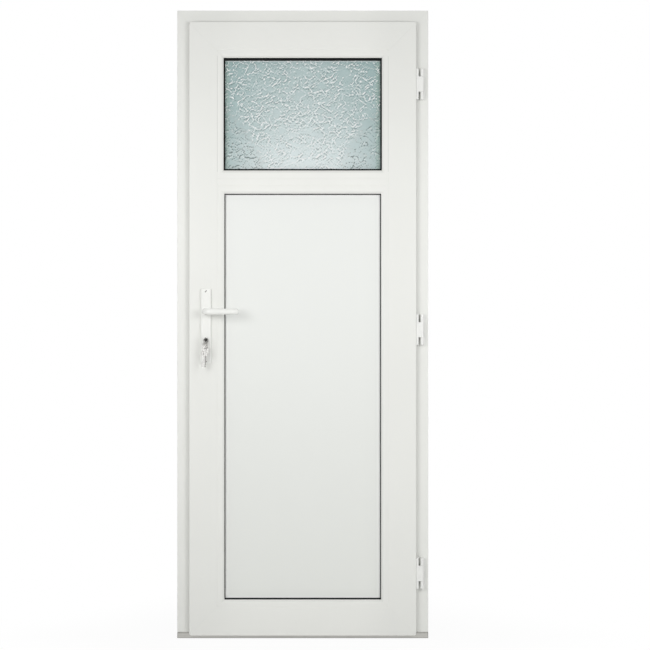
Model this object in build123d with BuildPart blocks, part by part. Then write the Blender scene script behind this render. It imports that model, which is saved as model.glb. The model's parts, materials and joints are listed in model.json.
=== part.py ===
from build123d import *
import os

# White PVC service door in its frame, closed.
# The origin is the centre of the threshold's underside: X to the right as seen from the room,
# Y out of doors, Z up. Sizes are in millimetres.

# Frame: width and height over all, and its section from the wall inwards
frame_width = 800.0
frame_height = 2000.0
frame_depth = 60.0
frame_face = 47.5
frame_edge_radius = 3.0
wall_groove_width = 7.0
wall_groove_depth = 4.0
wall_groove_inset = 15.0

# Leaf: how it laps over the frame, and its section from the lip's edge inwards
leaf_depth = 60.0
lip_overlap = 8.0
lip_thickness = 15.0
lip_gap = 5.0
rebate_gap = 12.0
stop_overlap = 8.0
stop_gap = 5.0
leaf_face = 89.5
lip_edge_radius = 3.0
leaf_corner_radius = 11.0
soft_edge = 1.0
mid_rail_core = 24.0
mid_rail_height = 1451.5

# Glazing: bead, gaskets, glass unit and infill panel share one rebate
glass_stile_bead = 19.7
panel_stile_bead = 22.3
rail_bead_width = 25.0
back_leg_width = 20.0
bead_depth = 9.0
bead_flat_share = 0.5
bead_nose = 5.0
bead_set_back = 0.8
bead_tongue_depth = 3.0
bead_tongue_width = 3.0
bead_tongue_place = 5.0
tongue_clearance = 0.2
gasket_thickness = 3.0
gasket_grip = 10.0
gasket_lip = 4.0
glass_gasket_show = 4.8
panel_gasket_show = 2.6
unit_thickness = 24.0
pane_thickness = 4.0
unit_edge_gap = 5.0
spacer_width = 15.0

# Seals between leaf and frame
seal_groove_width = 3.0
seal_groove_depth = 3.0
seal_bulb_width = 5.0
seal_clearance = 0.5

# Threshold
threshold_height = 20.0
threshold_wall = 2.0
chamber_count = 3
threshold_fall = 6.0
threshold_flat = 42.0
thermal_break_width = 8.0
thermal_break_depth = 1.0
jamb_joint_height = 4.0
jamb_joint_depth = 4.0

# Hardware groove along the leaf's edge, lock faceplate, bolts and strike plate
hardware_groove_width = 16.0
hardware_groove_depth = 3.0
faceplate_length = 1500.0
latch_height = 30.0
latch_thickness = 12.0
latch_throw = 5.0
bolt_back_wall = 4.0
deadbolt_height = 32.0
strike_width = 24.0
strike_length = 210.0
strike_thickness = 3.0
strike_pocket_depth = 16.0
bolt_clearance = 1.0

# Lever handle on its backplate
backset = 34.0
spindle_height = 1040.0
spindle_size = 8.0
spindle_socket = 22.0
cylinder_drop = 92.0
backplate_width = 33.0
backplate_length = 240.0
backplate_thickness = 9.0
backplate_corner_radius = 6.0
backplate_bevel = 2.5
neck_radius = 10.0
neck_clearance = 0.3
neck_seat = 6.0
grip_reach = 46.0
grip_length = 106.0
grip_bend_radius = 16.0
bend_angle = 90.0
grip_tip_radius = 8.6
grip_tip_bevel = 3.5
through_hole_radius = 11.0

# Profile cylinder and keys
cylinder_radius = 8.5
cylinder_web = 10.0
cylinder_total_height = 33.0
cylinder_stand_out = 3.0
cylinder_clearance = 0.3
keyway_width = 2.8
keyway_height = 9.0
keyway_depth = 22.0
key_thickness = 2.4
key_blade_height = 8.4
key_shoulder = 5.0
key_bow_length = 24.0
key_bow_height = 22.0
key_bow_round = 7.0
key_hole_radius = 4.5
key_hole_inset = 7.0
ring_radius = 10.5
ring_wire = 1.6
ring_turn = 45.0
ring_clearance = 1.0
spare_bow_width = 18.0
spare_bow_length = 31.0
spare_bow_round = 7.0
spare_hole_radius = 4.2
spare_hole_inset = 8.2
spare_thickness = 2.0
spare_blade_width = 6.0
spare_blade_length = 35.0
spare_notch_depth = 1.6
spare_notch_sides = 4
spare_notch_pitch = 5.5
spare_notch_count = 5
spare_spacing = 4.6
spare_clearance = 1.8
spare_turns = (3.5, 8.5)

# Hinges
hinge_length = 97.0
hinge_end_knuckle = 24.0
hinge_inset = 198.0
middle_hinge_drop = 3.0
hinge_axis_out = 18.5
hinge_axis_forward = 14.0
hinge_knuckle_radius = 5.75
hinge_pin_radius = 3.5
hinge_pin_clearance = 0.1
hinge_knuckle_gap = 0.5
hinge_strip_width = 7.0
hinge_plate_thickness = 3.0
hinge_plate_width = 18.0
hinge_web_thickness = 9.0
hinge_soft_edge = 1.0

# Places that follow from the sizes above
half_frame = frame_width / 2
lip_width = lip_overlap + rebate_gap
stop_edge = frame_face + rebate_gap + stop_overlap
stop_depth = frame_depth - leaf_depth + lip_thickness + lip_gap - stop_gap
stop_front = frame_depth - stop_depth
leaf_profile = leaf_face + back_leg_width
half_leaf = half_frame - frame_face + lip_overlap
leaf_top = frame_height - frame_face + lip_overlap
leaf_bottom = threshold_height - lip_overlap
leaf_height = leaf_top - leaf_bottom
leaf_middle = (leaf_top + leaf_bottom) / 2
frame_room = -frame_depth / 2
frame_outdoors = frame_depth / 2
leaf_room = frame_room - lip_gap - lip_thickness
leaf_outdoors = leaf_room + leaf_depth
unit_front = bead_depth + gasket_thickness
unit_back = unit_front + unit_thickness
back_leg_front = unit_back + gasket_thickness
half_rebate = half_leaf - leaf_face
hardware_groove_place = (lip_thickness + leaf_depth) / 2
spindle_x = -half_leaf + lip_width + backset
cylinder_height = spindle_height - cylinder_drop
bolt_depth = backset - through_hole_radius - bolt_back_wall
hinge_x = half_leaf + hinge_axis_out
hinge_y = frame_room - hinge_axis_forward
hinge_heights = {
    "upper": leaf_top - hinge_inset,
    "middle": leaf_middle - middle_hinge_drop,
    "lower": leaf_bottom + hinge_inset,
}
# Each light is the rebate opening between its rails, from its lower to its upper rebate floor
lights = {
    "glass": (mid_rail_height + mid_rail_core / 2, leaf_top - leaf_face),
    "panel": (leaf_bottom + leaf_face, mid_rail_height - mid_rail_core / 2),
}
gasket_shows = {"glass": glass_gasket_show, "panel": panel_gasket_show}
stile_beads = {"glass": glass_stile_bead, "panel": panel_stile_bead}


def run_plane(corner, across, along):
    """Plane of a member's section: x goes inwards across it, y out of doors, z along it."""
    return Plane(origin=corner, x_dir=across, z_dir=along)


def four_sides(left, right, bottom, top, y):
    """Section plane and length of each side of an upright rectangle, corner to corner."""
    width = right - left
    height = top - bottom
    return {
        "left": (run_plane((left, y, bottom), (1, 0, 0), (0, 0, 1)), height),
        "top": (run_plane((left, y, top), (0, 0, -1), (1, 0, 0)), width),
        "right": (run_plane((right, y, top), (-1, 0, 0), (0, 0, -1)), height),
        "bottom": (run_plane((right, y, bottom), (0, 0, 1), (-1, 0, 0)), width),
    }


def mitre_start(plane, width, next_width):
    """Mitre through a member's first outer corner to its inner one; the member is on its upper side."""
    return Plane(
        origin=plane.origin, x_dir=plane.y_dir, z_dir=plane.z_dir * width - plane.x_dir * next_width
    )


def mitre_end(plane, length, width, next_width):
    """Mitre through a member's last outer corner to its inner one; the member is on its upper side."""
    return Plane(
        origin=plane.origin + plane.z_dir * length,
        x_dir=plane.y_dir,
        z_dir=plane.z_dir * -width - plane.x_dir * next_width,
    )


def facing(y):
    """Upright plane at y that faces the room: x to the right, y up."""
    return Plane(origin=(0, y, 0), x_dir=(1, 0, 0), z_dir=(0, -1, 0))


def vertex_at(sketch, across, deep):
    """The sketch's vertex at a point of the section."""
    return sketch.vertices().sort_by_distance((across, deep))[0]


def save(piece, label):
    """Name a finished piece and write it."""
    piece.part.label = label
    export_step(piece.part, f"parts/{label}.step")


os.makedirs("parts", exist_ok=True)

# Frame members: one extruded section, mitred at the head, standing on the threshold
strike_middle = spindle_height - cylinder_drop / 2
frame_sides = four_sides(-half_frame, half_frame, threshold_height, frame_height, frame_room)
frame_labels = {"left": "left_jamb", "right": "right_jamb", "top": "frame_head"}
bolt_heights = {spindle_height: latch_height, cylinder_height: deadbolt_height}
groove_y = leaf_room + hardware_groove_place
for side, label in frame_labels.items():
    plane, length = frame_sides[side]
    with BuildPart() as member:
        with BuildSketch(plane) as section:
            with BuildLine():
                Polyline(
                    (0, 0),
                    (frame_face, 0),
                    (frame_face, stop_front),
                    (stop_edge, stop_front),
                    (stop_edge, frame_depth),
                    (0, frame_depth),
                    close=True,
                )
            make_face()
            fillet(vertex_at(section, frame_face, 0), frame_edge_radius)
            fillet(vertex_at(section, stop_edge, frame_depth), frame_edge_radius)
            fillet(vertex_at(section, stop_edge, stop_front), soft_edge)
            fillet(vertex_at(section, 0, 0), soft_edge)
            with Locations((wall_groove_depth / 2, wall_groove_inset)):
                Rectangle(wall_groove_depth, wall_groove_width, mode=Mode.SUBTRACT)
            with Locations((wall_groove_depth / 2, frame_depth - wall_groove_inset)):
                Rectangle(wall_groove_depth, wall_groove_width, mode=Mode.SUBTRACT)
            with Locations((stop_edge - stop_overlap / 2, stop_front + seal_groove_depth / 2)):
                Rectangle(seal_groove_width, seal_groove_depth, mode=Mode.SUBTRACT)
        extrude(amount=length)
        if side != "left":
            split(bisect_by=mitre_start(plane, stop_edge, stop_edge), keep=Keep.TOP)
        if side != "right":
            split(bisect_by=mitre_end(plane, length, stop_edge, stop_edge), keep=Keep.TOP)
        if side == "left":
            rebate_floor = Plane(
                origin=(-half_frame + frame_face, groove_y, strike_middle), x_dir=(0, 1, 0), z_dir=(1, 0, 0)
            )
            with BuildSketch(rebate_floor):
                Rectangle(strike_width, strike_length)
            extrude(amount=-strike_thickness, mode=Mode.SUBTRACT)
            with BuildSketch(rebate_floor):
                for height, tall in bolt_heights.items():
                    with Locations((0, height - strike_middle)):
                        Rectangle(latch_thickness + 2 * bolt_clearance, tall + 2 * bolt_clearance)
            extrude(amount=-strike_pocket_depth, mode=Mode.SUBTRACT)
    save(member, label)

# Threshold: chambered aluminium section, falling outwards between the jambs, with a joint under each jamb
half_doorway = half_frame - stop_edge
with BuildPart() as threshold:
    with BuildSketch(Plane(origin=(-half_frame, 0, 0), x_dir=(0, 1, 0), z_dir=(1, 0, 0))) as section:
        with Locations((0, threshold_height / 2)):
            Rectangle(frame_depth, threshold_height)
        fillet(vertex_at(section, frame_room, threshold_height), soft_edge)
        chamber_pitch = (frame_depth - threshold_wall) / chamber_count
        chamber_height = threshold_height - threshold_fall - 2 * threshold_wall
        with Locations((0, threshold_wall + chamber_height / 2)):
            with GridLocations(chamber_pitch, chamber_height, chamber_count, 1):
                Rectangle(chamber_pitch - threshold_wall, chamber_height, mode=Mode.SUBTRACT)
    extrude(amount=frame_width)
    with BuildSketch(Plane(origin=(-half_doorway, 0, 0), x_dir=(0, 1, 0), z_dir=(1, 0, 0))):
        with BuildLine():
            Polyline(
                (frame_room + threshold_flat, threshold_height),
                (frame_outdoors, threshold_height),
                (frame_outdoors, threshold_height - threshold_fall),
                close=True,
            )
        make_face()
        with Locations((frame_room + threshold_flat / 2, threshold_height - thermal_break_depth / 2)):
            Rectangle(thermal_break_width, thermal_break_depth)
    extrude(amount=2 * half_doorway, mode=Mode.SUBTRACT)
    joint_x = half_frame - frame_face / 2
    joint_z = threshold_height - jamb_joint_height / 2
    with BuildSketch(facing(frame_room)):
        with Locations((-joint_x, joint_z), (joint_x, joint_z)):
            Rectangle(frame_face, jamb_joint_height)
    extrude(amount=-jamb_joint_depth, mode=Mode.SUBTRACT)
save(threshold, "threshold")

# Seal on the stop legs, up both jambs and across the head
seal_reach = half_frame - stop_edge + stop_overlap / 2
seal_top = frame_height - stop_edge + stop_overlap / 2
stop_face = frame_room + stop_front
with BuildPart() as frame_seal:
    for half_width, front, back in (
        (seal_bulb_width / 2, stop_face - stop_gap + seal_clearance, stop_face),
        (seal_groove_width / 2, stop_face, stop_face + seal_groove_depth),
    ):
        with BuildSketch(facing(back)):
            with BuildLine():
                Polyline(
                    (-seal_reach - half_width, threshold_height),
                    (-seal_reach - half_width, seal_top + half_width),
                    (seal_reach + half_width, seal_top + half_width),
                    (seal_reach + half_width, threshold_height),
                    (seal_reach - half_width, threshold_height),
                    (seal_reach - half_width, seal_top - half_width),
                    (-seal_reach + half_width, seal_top - half_width),
                    (-seal_reach + half_width, threshold_height),
                    close=True,
                )
            make_face()
        extrude(amount=back - front)
save(frame_seal, "frame_seal")

# Strike plate let into the rebate of the left jamb
with BuildPart() as strike_plate:
    with BuildSketch(rebate_floor):
        Rectangle(strike_width, strike_length)
        for height, tall in bolt_heights.items():
            with Locations((0, height - strike_middle)):
                Rectangle(
                    latch_thickness + 2 * bolt_clearance, tall + 2 * bolt_clearance, mode=Mode.SUBTRACT
                )
    extrude(amount=-strike_thickness)
save(strike_plate, "strike_plate")

# Leaf members: one extruded section, mitred and welded at the corners
leaf_labels = {"left": "lock_stile", "right": "hinge_stile", "top": "top_rail", "bottom": "bottom_rail"}
seal_place = lip_overlap / 2
corner_x = half_leaf - leaf_corner_radius
corner_z = leaf_height / 2 - leaf_corner_radius
leaf_sides = four_sides(-half_leaf, half_leaf, leaf_bottom, leaf_top, leaf_room)
for side, label in leaf_labels.items():
    plane, length = leaf_sides[side]
    with BuildPart() as member:
        with BuildSketch(plane) as section:
            with BuildLine():
                Polyline(
                    (0, 0),
                    (leaf_face, 0),
                    (leaf_face, back_leg_front),
                    (leaf_profile, back_leg_front),
                    (leaf_profile, leaf_depth),
                    (lip_width, leaf_depth),
                    (lip_width, lip_thickness),
                    (0, lip_thickness),
                    close=True,
                )
            make_face()
            fillet(vertex_at(section, 0, 0), lip_edge_radius)
            fillet(vertex_at(section, 0, lip_thickness), soft_edge)
            fillet(vertex_at(section, leaf_face, 0), soft_edge)
            fillet(vertex_at(section, leaf_profile, leaf_depth), frame_edge_radius)
            fillet(vertex_at(section, lip_width, leaf_depth), soft_edge)
            with Locations((seal_place, lip_thickness - seal_groove_depth / 2)):
                Rectangle(seal_groove_width, seal_groove_depth, mode=Mode.SUBTRACT)
            with Locations((lip_width + hardware_groove_depth / 2, hardware_groove_place)):
                Rectangle(hardware_groove_depth, hardware_groove_width, mode=Mode.SUBTRACT)
            with Locations((leaf_face - bead_tongue_depth / 2, bead_tongue_place)):
                Rectangle(bead_tongue_depth, bead_tongue_width, mode=Mode.SUBTRACT)
        extrude(amount=length)
        split(bisect_by=mitre_start(plane, leaf_profile, leaf_profile), keep=Keep.TOP)
        split(bisect_by=mitre_end(plane, length, leaf_profile, leaf_profile), keep=Keep.TOP)
        with BuildSketch(facing(leaf_outdoors)):
            with Locations((0, leaf_middle)):
                with GridLocations(2 * half_leaf, leaf_height, 2, 2):
                    Rectangle(2 * leaf_corner_radius, 2 * leaf_corner_radius)
                with GridLocations(2 * corner_x, 2 * corner_z, 2, 2):
                    Circle(leaf_corner_radius, mode=Mode.SUBTRACT)
        extrude(amount=leaf_depth, mode=Mode.SUBTRACT)
        if side == "left":
            with BuildSketch(facing(leaf_outdoors)):
                with Locations((spindle_x, spindle_height)):
                    Circle(through_hole_radius)
                with Locations((spindle_x, cylinder_height)):
                    Circle(cylinder_radius + cylinder_clearance)
                with Locations((spindle_x, cylinder_height - (cylinder_total_height - cylinder_radius) / 2)):
                    Rectangle(
                        cylinder_web + 2 * cylinder_clearance,
                        cylinder_total_height - cylinder_radius + 2 * cylinder_clearance,
                    )
            extrude(amount=leaf_depth, mode=Mode.SUBTRACT)
            groove_floor = Plane(
                origin=(-half_leaf + lip_width + hardware_groove_depth, groove_y, 0),
                x_dir=(0, 1, 0),
                z_dir=(1, 0, 0),
            )
            with BuildSketch(groove_floor):
                for height, tall in bolt_heights.items():
                    with Locations((0, height)):
                        Rectangle(latch_thickness, tall)
            extrude(amount=bolt_depth - hardware_groove_depth, mode=Mode.SUBTRACT)
    save(member, label)

# Mid rail: its core runs between the rebate floors, its back legs between the stiles' legs
with BuildPart() as mid_rail:
    core_plane = run_plane((half_rebate, leaf_room, mid_rail_height), (0, 0, 1), (-1, 0, 0))
    with BuildSketch(core_plane) as section:
        with Locations((0, back_leg_front / 2)):
            Rectangle(mid_rail_core, back_leg_front)
        fillet(vertex_at(section, mid_rail_core / 2, 0), soft_edge)
        fillet(vertex_at(section, -mid_rail_core / 2, 0), soft_edge)
        groove_centre = (mid_rail_core - bead_tongue_depth) / 2
        with Locations((groove_centre, bead_tongue_place), (-groove_centre, bead_tongue_place)):
            Rectangle(bead_tongue_depth, bead_tongue_width, mode=Mode.SUBTRACT)
    extrude(amount=2 * half_rebate)
    half_back_light = half_rebate - back_leg_width
    leg_plane = run_plane((half_back_light, leaf_room, mid_rail_height), (0, 0, 1), (-1, 0, 0))
    with BuildSketch(leg_plane):
        with Locations((0, (back_leg_front + leaf_depth) / 2)):
            Rectangle(mid_rail_core + 2 * back_leg_width, leaf_depth - back_leg_front)
    extrude(amount=2 * half_back_light)
save(mid_rail, "mid_rail")

# Glazing beads: clipped into the rebate by a tongue, mitred, rounded off towards the gasket
for light, (light_bottom, light_top) in lights.items():
    bead_sides = four_sides(-half_rebate, half_rebate, light_bottom, light_top, leaf_room)
    bead_widths = {
        "left": (stile_beads[light], rail_bead_width),
        "right": (stile_beads[light], rail_bead_width),
        "top": (rail_bead_width, stile_beads[light]),
        "bottom": (rail_bead_width, stile_beads[light]),
    }
    for side, (plane, length) in bead_sides.items():
        width, next_width = bead_widths[side]
        round_start = (bead_flat_share * width, bead_set_back)
        round_end = (width, bead_depth - bead_nose)
        with BuildPart() as bead:
            with BuildSketch(plane):
                with BuildLine():
                    TangentArc(round_start, round_end, tangent=(1, 0))
                    Polyline(
                        round_end,
                        (width, bead_depth),
                        (0, bead_depth),
                        (0, bead_set_back),
                        round_start,
                    )
                make_face()
            extrude(amount=length)
            split(bisect_by=mitre_start(plane, width, next_width), keep=Keep.TOP)
            split(bisect_by=mitre_end(plane, length, width, next_width), keep=Keep.TOP)
            with BuildSketch(plane.offset(next_width)):
                with Locations((-(bead_tongue_depth - tongue_clearance) / 2, bead_tongue_place)):
                    Rectangle(
                        bead_tongue_depth - tongue_clearance, bead_tongue_width - 2 * tongue_clearance
                    )
            extrude(amount=length - 2 * next_width)
        save(bead, f"{light}_bead_{side}")

# Gaskets: a foot between bead or back leg and the glass or panel, and on the room side a lip past the bead
bead_back = leaf_room + bead_depth
unit_face = leaf_room + unit_front
unit_rear = leaf_room + unit_back
back_leg_face = leaf_room + back_leg_front
with BuildPart() as front_gaskets:
    for light, (light_bottom, light_top) in lights.items():
        middle = (light_bottom + light_top) / 2
        daylight_width = 2 * (half_rebate - stile_beads[light])
        daylight_height = light_top - light_bottom - 2 * rail_bead_width
        show = gasket_shows[light]
        with BuildSketch(facing(unit_face)):
            with Locations((0, middle)):
                Rectangle(daylight_width + 2 * gasket_grip, daylight_height + 2 * gasket_grip)
                Rectangle(daylight_width - 2 * show, daylight_height - 2 * show, mode=Mode.SUBTRACT)
        extrude(amount=gasket_thickness)
        with BuildSketch(facing(bead_back)):
            with Locations((0, middle)):
                Rectangle(daylight_width, daylight_height)
                Rectangle(daylight_width - 2 * show, daylight_height - 2 * show, mode=Mode.SUBTRACT)
        extrude(amount=gasket_lip)
save(front_gaskets, "front_gaskets")

with BuildPart() as back_gaskets:
    for light_bottom, light_top in lights.values():
        back_light_height = light_top - light_bottom - 2 * back_leg_width
        with BuildSketch(facing(back_leg_face)):
            with Locations((0, (light_bottom + light_top) / 2)):
                Rectangle(2 * (half_back_light + gasket_grip), back_light_height + 2 * gasket_grip)
                Rectangle(
                    2 * (half_back_light - panel_gasket_show),
                    back_light_height - 2 * panel_gasket_show,
                    mode=Mode.SUBTRACT,
                )
        extrude(amount=gasket_thickness)
save(back_gaskets, "back_gaskets")

# Glass unit of two panes on a spacer, and the infill panel below the mid rail
unit_width = 2 * (half_rebate - unit_edge_gap)
unit_bottom, unit_top = (lights["glass"][0] + unit_edge_gap, lights["glass"][1] - unit_edge_gap)
unit_height = unit_top - unit_bottom
unit_middle = (unit_bottom + unit_top) / 2
for label, rear in (("glass_front_pane", unit_face + pane_thickness), ("glass_back_pane", unit_rear)):
    with BuildPart() as pane:
        with BuildSketch(facing(rear)):
            with Locations((0, unit_middle)):
                Rectangle(unit_width, unit_height)
        extrude(amount=pane_thickness)
    save(pane, label)

with BuildPart() as glass_spacer:
    with BuildSketch(facing(unit_rear - pane_thickness)):
        with Locations((0, unit_middle)):
            Rectangle(unit_width, unit_height)
            Rectangle(unit_width - 2 * spacer_width, unit_height - 2 * spacer_width, mode=Mode.SUBTRACT)
    extrude(amount=unit_thickness - 2 * pane_thickness)
save(glass_spacer, "glass_spacer")

panel_bottom, panel_top = (lights["panel"][0] + unit_edge_gap, lights["panel"][1] - unit_edge_gap)
with BuildPart() as infill_panel:
    with BuildSketch(facing(unit_rear)):
        with Locations((0, (panel_bottom + panel_top) / 2)):
            Rectangle(unit_width, panel_top - panel_bottom)
    extrude(amount=unit_thickness)
save(infill_panel, "infill_panel")

# Seal behind the leaf's lip, all round, and the fin under the bottom rail
lip_back = leaf_room + lip_thickness
with BuildPart() as leaf_seal:
    for half_width, front, back in (
        (seal_bulb_width / 2, lip_back, lip_back + lip_gap - seal_clearance),
        (seal_groove_width / 2, lip_back - seal_groove_depth, lip_back),
    ):
        with BuildSketch(facing(back)):
            with Locations((0, leaf_middle)):
                inset = seal_place - half_width
                Rectangle(2 * (half_leaf - inset), leaf_height - 2 * inset)
                inset = seal_place + half_width
                Rectangle(2 * (half_leaf - inset), leaf_height - 2 * inset, mode=Mode.SUBTRACT)
        extrude(amount=back - front)
save(leaf_seal, "leaf_seal")

leaf_foot = leaf_bottom + lip_width
half_body = half_leaf - lip_width
with BuildPart() as bottom_seal:
    with BuildSketch(Plane.XY.offset(leaf_foot)):
        with Locations((0, groove_y)):
            Rectangle(2 * (half_body - lip_width), hardware_groove_width)
    extrude(amount=hardware_groove_depth)
    with BuildSketch(Plane.XY.offset(leaf_foot)):
        with Locations((0, groove_y)):
            Rectangle(2 * (half_body - lip_width), seal_bulb_width)
    extrude(amount=threshold_height + seal_clearance - leaf_foot)
save(bottom_seal, "bottom_seal")

# Lock faceplate flush in the hardware groove, latch drawn back to a short throw, deadbolt flush
faceplate_plane = Plane(origin=(-half_body, groove_y, 0), x_dir=(0, 1, 0), z_dir=(1, 0, 0))
with BuildPart() as lock_faceplate:
    with BuildSketch(faceplate_plane):
        with Locations((0, leaf_middle)):
            Rectangle(hardware_groove_width, faceplate_length)
        for height, tall in bolt_heights.items():
            with Locations((0, height)):
                Rectangle(latch_thickness, tall, mode=Mode.SUBTRACT)
    extrude(amount=hardware_groove_depth)
save(lock_faceplate, "lock_faceplate")

with BuildPart() as lock_bolts:
    with BuildSketch(Plane.XY.offset(spindle_height - latch_height / 2)):
        with BuildLine():
            Polyline(
                (-half_body - latch_throw, groove_y - latch_thickness / 2),
                (-half_body, groove_y + latch_thickness / 2),
                (-half_body + bolt_depth, groove_y + latch_thickness / 2),
                (-half_body + bolt_depth, groove_y - latch_thickness / 2),
                close=True,
            )
        make_face()
    extrude(amount=latch_height)
    with BuildSketch(faceplate_plane):
        with Locations((0, cylinder_height)):
            Rectangle(latch_thickness, deadbolt_height)
    extrude(amount=bolt_depth)
save(lock_bolts, "lock_bolts")

# Backplates on both faces, levers on one square spindle
leaf_faces = {"inner": (leaf_room, -1), "outer": (leaf_outdoors, 1)}
for label, (face, out) in leaf_faces.items():
    front = face + out * backplate_thickness
    with BuildPart() as backplate:
        with BuildSketch(facing(face)):
            with Locations((spindle_x, strike_middle)):
                RectangleRounded(backplate_width, backplate_length, backplate_corner_radius)
        extrude(amount=-out * backplate_thickness)
        chamfer(backplate.faces().sort_by(Axis.Y)[0 if out < 0 else -1].edges(), backplate_bevel)
        with BuildSketch(facing(face)):
            with Locations((spindle_x, spindle_height)):
                Circle(neck_radius + neck_clearance)
            with Locations((spindle_x, cylinder_height)):
                Circle(cylinder_radius + cylinder_clearance)
            with Locations((spindle_x, cylinder_height - (cylinder_total_height - cylinder_radius) / 2)):
                Rectangle(
                    cylinder_web + 2 * cylinder_clearance,
                    cylinder_total_height - cylinder_radius + 2 * cylinder_clearance,
                )
        extrude(amount=-out * backplate_thickness, mode=Mode.SUBTRACT)
    save(backplate, f"{label}_backplate")

    with BuildPart() as lever:
        root = front - out * neck_seat
        neck_length = neck_seat + grip_reach - grip_bend_radius
        grip_y = front + out * grip_reach
        neck_plane = Plane(origin=(spindle_x, root, spindle_height), x_dir=(1, 0, 0), z_dir=(0, out, 0))
        with BuildSketch(neck_plane):
            Circle(neck_radius)
        extrude(amount=neck_length)
        bend_y = root + out * neck_length
        bend_axis = Axis((spindle_x + grip_bend_radius, bend_y, spindle_height), (0, 0, -out))
        with BuildSketch(neck_plane.offset(neck_length)):
            Circle(neck_radius)
        revolve(axis=bend_axis, revolution_arc=bend_angle)
        grip_start = (spindle_x + grip_bend_radius, grip_y, spindle_height)
        straight = grip_length - grip_bend_radius
        with BuildSketch(Plane(origin=grip_start, x_dir=(1, 0, 0), z_dir=(0, -1, 0))) as half_grip:
            with BuildLine():
                Polyline((0, 0), (0, neck_radius), (straight, grip_tip_radius), (straight, 0), close=True)
            make_face()
            chamfer(vertex_at(half_grip, straight, grip_tip_radius), grip_tip_bevel)
        revolve(axis=Axis(grip_start, (1, 0, 0)))
        with BuildSketch(neck_plane):
            Rectangle(spindle_size, spindle_size)
        extrude(amount=spindle_socket, mode=Mode.SUBTRACT)
    save(lever, f"{label}_lever")

spindle_room = leaf_room - backplate_thickness + neck_seat - spindle_socket
spindle_outdoors = leaf_outdoors + backplate_thickness - neck_seat + spindle_socket
with BuildPart() as spindle:
    with BuildSketch(facing(spindle_outdoors)):
        with Locations((spindle_x, spindle_height)):
            Rectangle(spindle_size, spindle_size)
    extrude(amount=spindle_outdoors - spindle_room)
save(spindle, "spindle")

# Profile cylinder right through the leaf, with a keyway on the room side
cylinder_room = leaf_room - backplate_thickness - cylinder_stand_out
cylinder_outdoors = leaf_outdoors + backplate_thickness + cylinder_stand_out
with BuildPart() as lock_cylinder:
    with BuildSketch(facing(cylinder_outdoors)):
        with Locations((spindle_x, cylinder_height)):
            Circle(cylinder_radius)
        web_height = cylinder_total_height - cylinder_radius - cylinder_web / 2
        with Locations((spindle_x, cylinder_height - web_height / 2)):
            Rectangle(cylinder_web, web_height)
        with Locations((spindle_x, cylinder_height - web_height)):
            Circle(cylinder_web / 2)
    extrude(amount=cylinder_outdoors - cylinder_room)
    with BuildSketch(facing(cylinder_room), facing(cylinder_outdoors - keyway_depth)):
        with Locations((spindle_x, cylinder_height)):
            Rectangle(keyway_width, keyway_height)
    extrude(amount=-keyway_depth, mode=Mode.SUBTRACT)
save(lock_cylinder, "lock_cylinder")

# Key in the cylinder: blade in the keyway, bow upright and edge-on to the room
key_side = Plane(origin=(spindle_x, cylinder_room, cylinder_height), x_dir=(0, -1, 0), z_dir=(1, 0, 0))
key_hole_out = key_shoulder + key_bow_length - key_hole_inset
with BuildPart() as cylinder_key:
    with BuildSketch(key_side):
        with Locations(((key_shoulder - keyway_depth) / 2, 0)):
            Rectangle(keyway_depth + key_shoulder, key_blade_height)
        with Locations((key_shoulder + key_bow_length / 2, 0)):
            RectangleRounded(key_bow_length, key_bow_height, key_bow_round)
        with Locations((key_hole_out, 0)):
            Circle(key_hole_radius, mode=Mode.SUBTRACT)
    extrude(amount=key_thickness / 2, both=True)
save(cylinder_key, "cylinder_key")

# Ring of square wire through the bow, turned so that the spare keys on it face the room
key_hole_y = cylinder_room - key_hole_out
ring_top = cylinder_height - key_hole_radius + ring_wire / 2 + ring_clearance
ring_middle = ring_top - ring_radius
ring_axis = Vector(1, 0, 0).rotate(Axis.Z, ring_turn)
with BuildPart() as key_ring:
    with BuildSketch(Plane(origin=(spindle_x, key_hole_y, ring_middle), z_dir=ring_axis)):
        Circle(ring_radius + ring_wire / 2)
        Circle(ring_radius - ring_wire / 2, mode=Mode.SUBTRACT)
    extrude(amount=ring_wire / 2, both=True)
save(key_ring, "key_ring")

# Spare keys side by side on the ring's lowest wire, a little fanned
ring_bottom = ring_middle - ring_radius
ring_along = Vector(0, 1, 0).rotate(Axis.Z, ring_turn)
spare_hang = ring_wire / 2 + spare_clearance - spare_hole_radius
with BuildPart() as spare_keys:
    for index, turn in enumerate(spare_turns):
        shift = ring_along * (spare_spacing * (index - (len(spare_turns) - 1) / 2))
        hole = Vector(spindle_x, key_hole_y, ring_bottom + spare_hang) + shift
        lean = Vector(1, 0, 0).rotate(Axis.Y, turn)
        with BuildSketch(Plane(origin=hole, x_dir=lean, z_dir=(0, -1, 0))):
            with Locations((0, spare_hole_inset - spare_bow_length / 2)):
                RectangleRounded(spare_bow_width, spare_bow_length, spare_bow_round)
            blade_top = spare_hole_inset - spare_bow_length
            with Locations((0, blade_top - (spare_blade_length - spare_bow_round) / 2)):
                Rectangle(spare_blade_width, spare_blade_length + spare_bow_round)
            with Locations((spare_blade_width / 2, blade_top - spare_blade_length / 2)):
                with GridLocations(spare_blade_width, spare_notch_pitch, 1, spare_notch_count):
                    RegularPolygon(spare_notch_depth, spare_notch_sides, mode=Mode.SUBTRACT)
            Circle(spare_hole_radius, mode=Mode.SUBTRACT)
        extrude(amount=spare_thickness / 2, both=True)
save(spare_keys, "spare_keys")

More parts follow.
